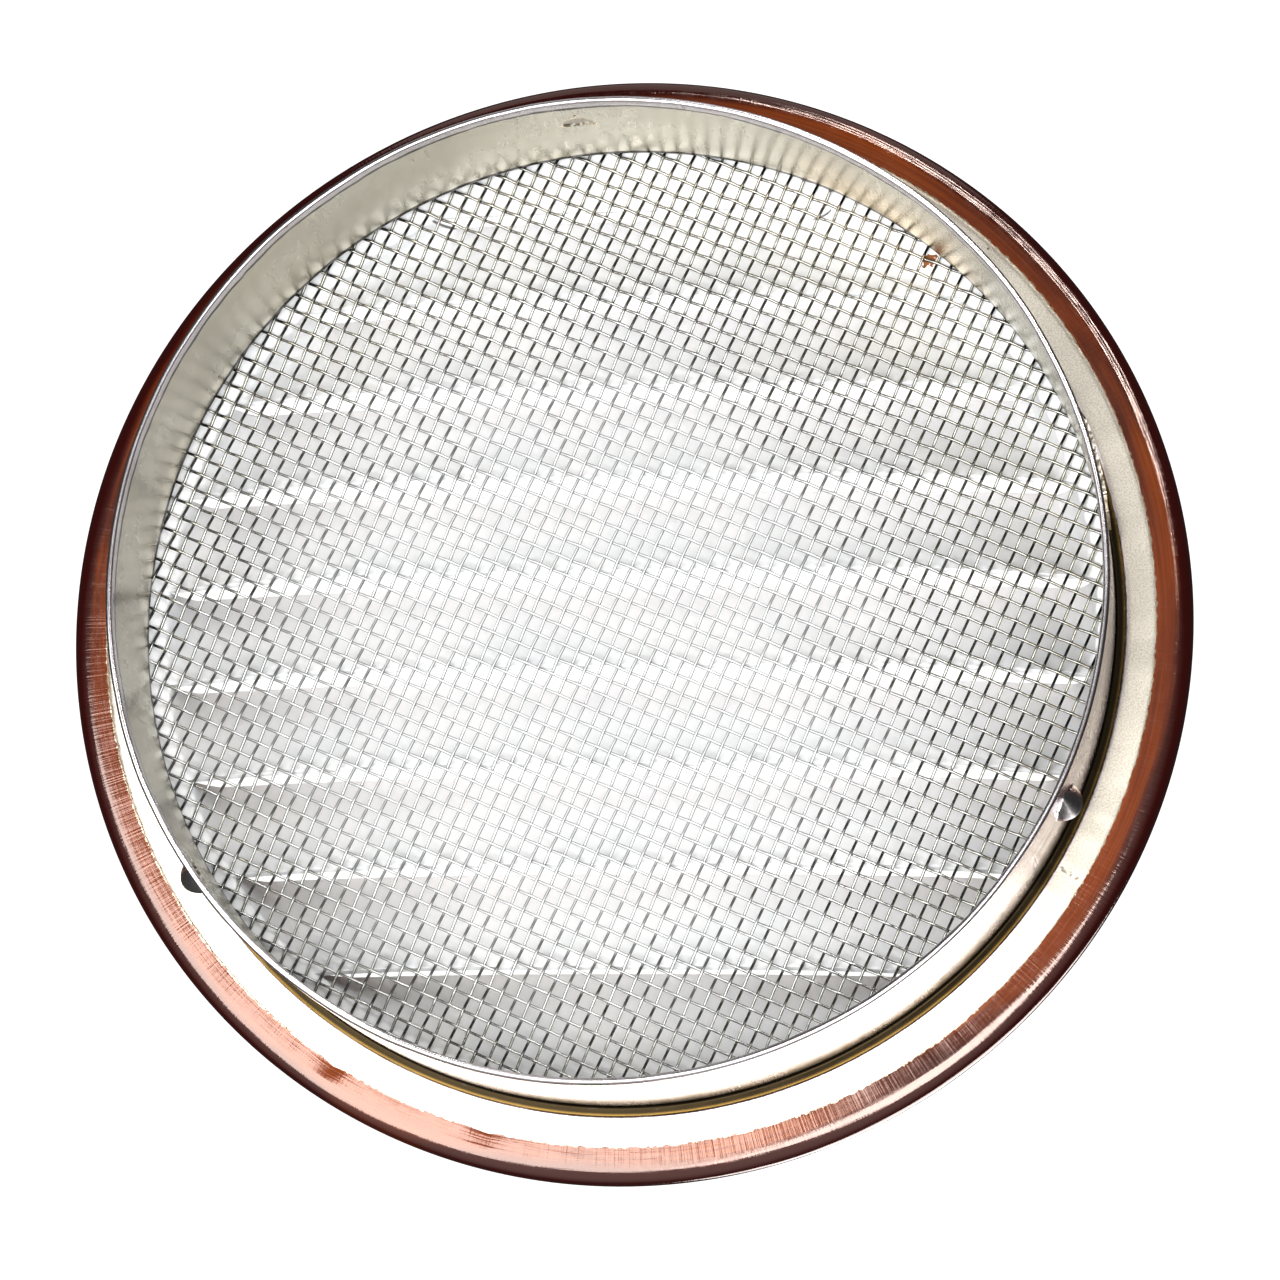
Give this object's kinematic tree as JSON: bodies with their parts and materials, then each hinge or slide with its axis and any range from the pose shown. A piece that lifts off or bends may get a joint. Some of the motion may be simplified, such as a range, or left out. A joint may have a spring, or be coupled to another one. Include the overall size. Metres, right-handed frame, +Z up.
{
  "type": "round louvred vent",
  "caption": "Round sheet-metal air vent with a louvred face, a rolled rim, an insect screen behind the face and a push-in collar with lanced barbs.",
  "frame": {"origin": "on the collar's axis, in the plane where the back of the rolled rim meets the wall", "axes": "+Y along the collar towards its rear end and into the wall, +Z up as fitted in a wall with the louvre openings facing down, +X to the right seen from in front of the louvres"},
  "size_m": [0.11, 0.024, 0.11],
  "materials": {
    "painted_sheet": "gloss",
    "collar_sheet": "mill, satin",
    "screen_wire": "drawn wire, satin"
  },
  "bodies": {
    "root": {"louvre_disc": "painted_sheet", "insect_screen": "screen_wire", "collar": "collar_sheet"}
  },
  "joints": []
}
